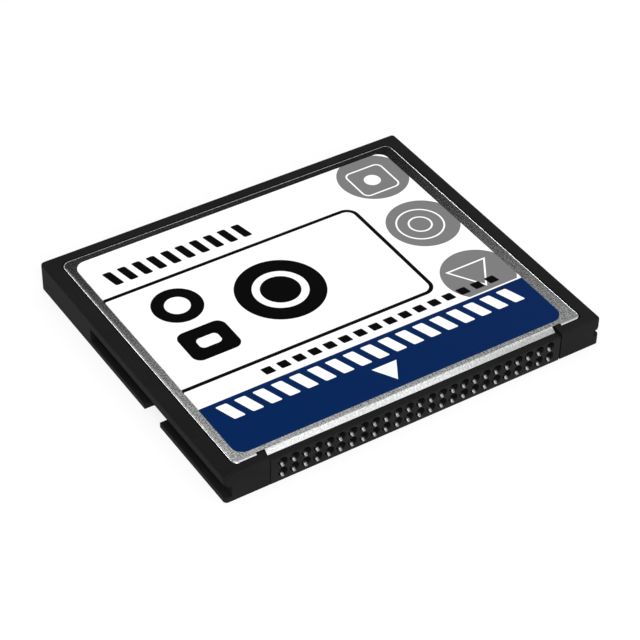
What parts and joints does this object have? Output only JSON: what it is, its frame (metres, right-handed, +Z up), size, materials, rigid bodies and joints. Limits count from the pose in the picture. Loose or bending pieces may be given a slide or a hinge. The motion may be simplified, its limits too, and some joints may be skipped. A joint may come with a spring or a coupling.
{
  "type": "compact flash card",
  "caption": "Flat memory card: a moulded frame with keyed side grooves, bent steel covers, a printed label and a two-row socket connector along the front edge.",
  "frame": {"origin": "bottom centre of the card's bounding box, below the middle of the card as it lies label up", "axes": "+X along the connector, from left to right as seen from the connector's end; +Y back from the connector's face; +Z up, out of the label"},
  "size_m": [0.0428, 0.0364, 0.0035],
  "materials": {
    "frame_plastic": "moulded, fine matt texture",
    "connector_plastic": "moulded, smooth satin",
    "cover_steel": "satin, finely speckled",
    "label_film": "printed, satin",
    "insulating_film": "thin amber film",
    "contact_metal": "plated, bright",
    "board_laminate": "lacquered laminate",
    "package_plastic": "moulded, fine matt",
    "tinned_metal": "tinned, satin",
    "tan_ceramic": "fired ceramic",
    "dark_ceramic": "coated ceramic"
  },
  "bodies": {
    "root": {"frame": "frame_plastic", "connector_housing": "connector_plastic", "top_cover": "cover_steel", "bottom_cover": "cover_steel", "label": "label_film", "upper_insulator": "insulating_film", "lower_insulator": "insulating_film", "upper_contacts": "contact_metal", "lower_contacts": "contact_metal", "circuit_board": "board_laminate", "upper_flash_chip": "package_plastic", "lower_flash_chip": "package_plastic", "controller_chip": "package_plastic", "voltage_detector": "package_plastic", "upper_flash_leads": "tinned_metal", "lower_flash_leads": "tinned_metal", "detector_leads": "tinned_metal", "capacitor_bodies": "tan_ceramic", "bulk_capacitor_bodies": "tan_ceramic", "resistor_bodies": "dark_ceramic", "capacitor_ends": "tinned_metal", "resistor_ends": "tinned_metal", "bulk_capacitor_ends": "tinned_metal"}
  },
  "joints": []
}
